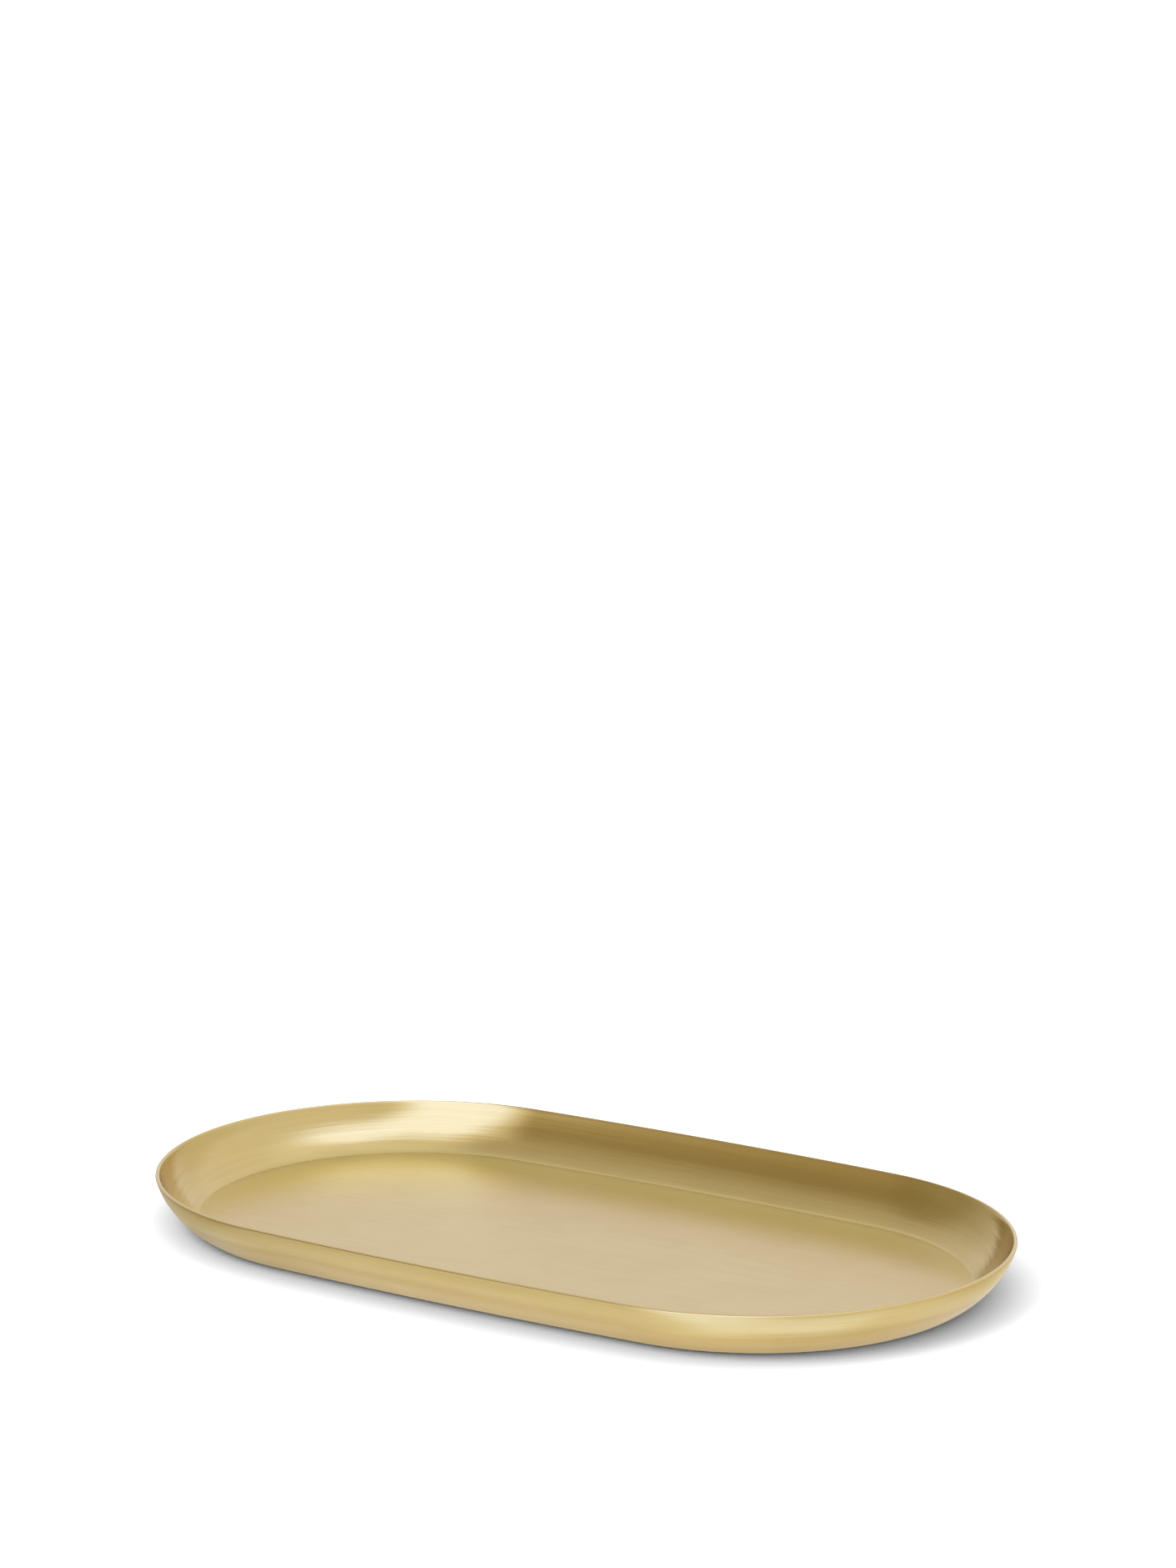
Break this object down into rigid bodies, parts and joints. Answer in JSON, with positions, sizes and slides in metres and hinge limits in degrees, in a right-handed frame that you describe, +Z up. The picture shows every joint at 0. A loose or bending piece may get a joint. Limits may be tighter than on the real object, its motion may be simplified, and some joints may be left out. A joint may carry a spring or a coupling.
{
  "type": "oval tray",
  "caption": "Shallow oval tray pressed from brass sheet, with a flat floor, a wall that flares up in a hollow curve all round, and a plain rim.",
  "frame": {"origin": "middle of the underside, on the surface that the tray stands on", "axes": "+Z up out of the open side, +X along the long side"},
  "size_m": [0.23, 0.13, 0.0125],
  "materials": {
    "brushed_brass": "fine brushed satin"
  },
  "bodies": {
    "root": {"tray": "brushed_brass"}
  },
  "joints": []
}
